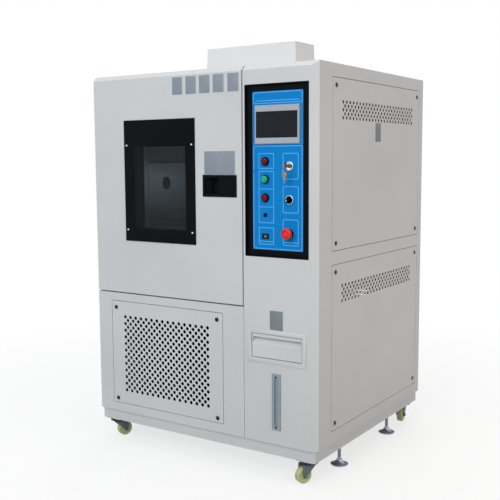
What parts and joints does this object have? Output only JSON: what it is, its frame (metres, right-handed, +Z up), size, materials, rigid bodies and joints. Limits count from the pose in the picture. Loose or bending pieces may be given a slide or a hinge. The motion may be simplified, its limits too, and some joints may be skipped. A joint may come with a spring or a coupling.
{
  "type": "environmental test chamber",
  "caption": "Floor-standing temperature and humidity chamber with a windowed insulated door, control column, perforated machine grille, motor cover, casters and levelling feet.",
  "frame": {"origin": "middle of the bounding box's base, on the floor", "axes": "+Z up, -Y towards the person who stands at the door, +X to that person's right"},
  "size_m": [0.9868, 0.915, 1.528],
  "materials": {
    "paint": "satin",
    "zinc_sheet": "satin",
    "stainless": "satin",
    "coil_metal": "satin",
    "foam": "matte",
    "black_plastic": "satin",
    "black_screw": "gloss",
    "motor_grey": "satin",
    "black_paint": "gloss",
    "tank_plastic": "satin",
    "drawer_plastic": "satin",
    "gauge_plate": "satin",
    "electrics": "satin",
    "blue_panel": "satin",
    "bezel_grey": "satin",
    "screen_glass": "gloss",
    "lens_red": "gloss",
    "ring_metal": "polished",
    "zinc": "satin",
    "port_rubber": "matte",
    "seal_rubber": "matte",
    "clear_glass": "gloss",
    "green_button": "gloss",
    "red_button": "gloss",
    "wheel_tread": "satin"
  },
  "bodies": {
    "cabinet": {"base_frame": "paint", "inner_frame": "zinc_sheet", "casing_wrap": "paint", "right_frame": "paint", "side_panels": "paint", "rear_panel": "paint", "service_fittings": "black_plastic", "column_front": "paint", "lower_front": "paint", "front_grille": "paint", "panel_screws": "black_screw", "inner_liner": "stainless", "insulation": "foam", "wire_shelves": "stainless", "air_baffle": "stainless", "duct_coils": "coil_metal", "fan_motor": "motor_grey", "motor_cover": "paint", "compressor": "black_paint", "condenser": "coil_metal", "humidifier": "tank_plastic", "level_gauge": "gauge_plate", "electrical_plate": "electrics", "control_surround": "black_plastic", "control_panel": "blue_panel", "touch_screen": "bezel_grey", "screen_glass": "screen_glass", "indicator_heads": "lens_red", "switch_bodies": "ring_metal", "cabinet_hinges": "zinc", "cable_port": "port_rubber"},
    "door": {"door_skin": "paint", "door_foam": "foam", "door_pan": "stainless", "door_gasket": "seal_rubber", "window_frame": "black_plastic", "window_glass": "clear_glass", "handle_tray": "black_plastic", "door_hinges": "zinc", "door_cable": "seal_rubber"},
    "handle_paddle": {"handle_paddle": "black_plastic"},
    "start_button": {"start_button": "green_button"},
    "stop_button": {"stop_mushroom": "red_button"},
    "key": {"switch_key": "zinc"},
    "selector": {"selector_knob": "black_plastic"},
    "drawer": {"water_drawer": "drawer_plastic"},
    "duct_fan": {"circulation_fan": "stainless"},
    "machine_fan": {"condenser_fan": "black_plastic"},
    "fork_front_left": {"fork_front_left": "zinc"},
    "wheel_front_left": {"wheel_front_left": "wheel_tread"},
    "foot_front_left": {"foot_front_left": "black_paint"},
    "fork_front_right": {"fork_front_right": "zinc"},
    "wheel_front_right": {"wheel_front_right": "wheel_tread"},
    "foot_front_right": {"foot_front_right": "black_paint"},
    "fork_rear_left": {"fork_rear_left": "zinc"},
    "wheel_rear_left": {"wheel_rear_left": "wheel_tread"},
    "foot_rear_left": {"foot_rear_left": "black_paint"},
    "fork_rear_right": {"fork_rear_right": "zinc"},
    "wheel_rear_right": {"wheel_rear_right": "wheel_tread"},
    "foot_rear_right": {"foot_rear_right": "black_paint"}
  },
  "joints": [
    {"name": "door_hinge", "type": "hinge", "parent": "cabinet", "child": "door", "pos_m": [-0.46905, -0.352, 0.978], "axis": [0, 0, -1], "range_deg": [0, 120]},
    {"name": "paddle_pivot", "type": "hinge", "parent": "door", "child": "handle_paddle", "pos_m": [0.17035, -0.425, 0.981], "axis": [0, 0, 1], "range_deg": [0, 40], "stiffness_Nm_per_rad": 0.4},
    {"name": "start_press", "type": "slide", "parent": "cabinet", "child": "start_button", "axis": [0, 1, 0], "range_m": [0, 0.003], "stiffness_N_per_m": 500},
    {"name": "stop_press", "type": "slide", "parent": "cabinet", "child": "stop_button", "axis": [0, 1, 0], "range_m": [0, 0.005]},
    {"name": "key_turn", "type": "hinge", "parent": "cabinet", "child": "key", "pos_m": [0.38715, -0.4295, 1.048], "axis": [0, 1, 0], "range_deg": [0, 90]},
    {"name": "selector_turn", "type": "hinge", "parent": "cabinet", "child": "selector", "pos_m": [0.38715, -0.4295, 0.94], "axis": [0, 1, 0], "range_deg": [-90, 0]},
    {"name": "drawer_slide", "type": "slide", "parent": "cabinet", "child": "drawer", "axis": [0, -1, 0], "range_m": [0, 0.15]},
    {"name": "duct_fan_spin", "type": "hinge", "parent": "cabinet", "child": "duct_fan", "pos_m": [-0.12605, 0.2015, 1.24], "axis": [0, 0, 1], "continuous": true},
    {"name": "machine_fan_spin", "type": "hinge", "parent": "cabinet", "child": "machine_fan", "pos_m": [-0.13405, -0.2635, 0.348], "axis": [0, 1, 0], "continuous": true},
    {"name": "swivel_front_left", "type": "hinge", "parent": "cabinet", "child": "fork_front_left", "pos_m": [-0.40905, -0.3875, 0.07], "axis": [0, 0, 1], "continuous": true},
    {"name": "roll_front_left", "type": "hinge", "parent": "fork_front_left", "child": "wheel_front_left", "pos_m": [-0.40084, -0.36495, 0.0275], "axis": [-0.9397, 0.342, 0], "continuous": true},
    {"name": "swivel_front_right", "type": "hinge", "parent": "cabinet", "child": "fork_front_right", "pos_m": [0.44095, -0.3875, 0.07], "axis": [0, 0, 1], "continuous": true},
    {"name": "roll_front_right", "type": "hinge", "parent": "fork_front_right", "child": "wheel_front_right", "pos_m": [0.43081, -0.40925, 0.0275], "axis": [0.9063, -0.4226, 0], "continuous": true},
    {"name": "swivel_rear_left", "type": "hinge", "parent": "cabinet", "child": "fork_rear_left", "pos_m": [-0.40905, 0.3935, 0.07], "axis": [0, 0, 1], "continuous": true},
    {"name": "roll_rear_left", "type": "hinge", "parent": "fork_rear_left", "child": "wheel_rear_left", "pos_m": [-0.3865, 0.40171, 0.0275], "axis": [-0.342, 0.9397, 0], "continuous": true},
    {"name": "swivel_rear_right", "type": "hinge", "parent": "cabinet", "child": "fork_rear_right", "pos_m": [0.44095, 0.3935, 0.07], "axis": [0, 0, 1], "continuous": true},
    {"name": "roll_rear_right", "type": "hinge", "parent": "fork_rear_right", "child": "wheel_rear_right", "pos_m": [0.44512, 0.36986, 0.0275], "axis": [0.9848, 0.1736, 0], "continuous": true},
    {"name": "height_front_left", "type": "slide", "parent": "cabinet", "child": "foot_front_left", "axis": [0, 0, 1], "range_m": [0, 0.02]},
    {"name": "height_front_right", "type": "slide", "parent": "cabinet", "child": "foot_front_right", "axis": [0, 0, 1], "range_m": [0, 0.02]},
    {"name": "height_rear_left", "type": "slide", "parent": "cabinet", "child": "foot_rear_left", "axis": [0, 0, 1], "range_m": [0, 0.02]},
    {"name": "height_rear_right", "type": "slide", "parent": "cabinet", "child": "foot_rear_right", "axis": [0, 0, 1], "range_m": [0, 0.02]}
  ]
}
